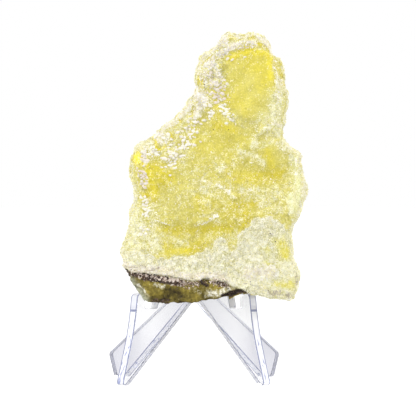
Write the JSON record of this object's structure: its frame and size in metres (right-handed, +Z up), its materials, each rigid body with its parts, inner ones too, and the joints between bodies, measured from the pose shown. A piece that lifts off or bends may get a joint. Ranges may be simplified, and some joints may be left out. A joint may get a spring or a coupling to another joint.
{
  "type": "brucite crystal specimen on a display easel",
  "caption": "Lemon-yellow sugary mineral crust slab with white nodules on olive matrix, leaning on a clear interlocking display easel.",
  "frame": {"origin": "middle of the footprint of the whole object's box, on the surface that the easel stands on", "axes": "+Z up, -Y towards the viewer of the crust face, +X to the viewer's right"},
  "size_m": [0.061, 0.0537, 0.107],
  "materials": {
    "brucite_crust": "sugary translucent crystal crust",
    "easel_plastic": "polished clear"
  },
  "bodies": {
    "root": {"brucite_specimen": "brucite_crust", "easel_plate_left": "easel_plastic", "easel_plate_right": "easel_plastic"}
  },
  "joints": []
}
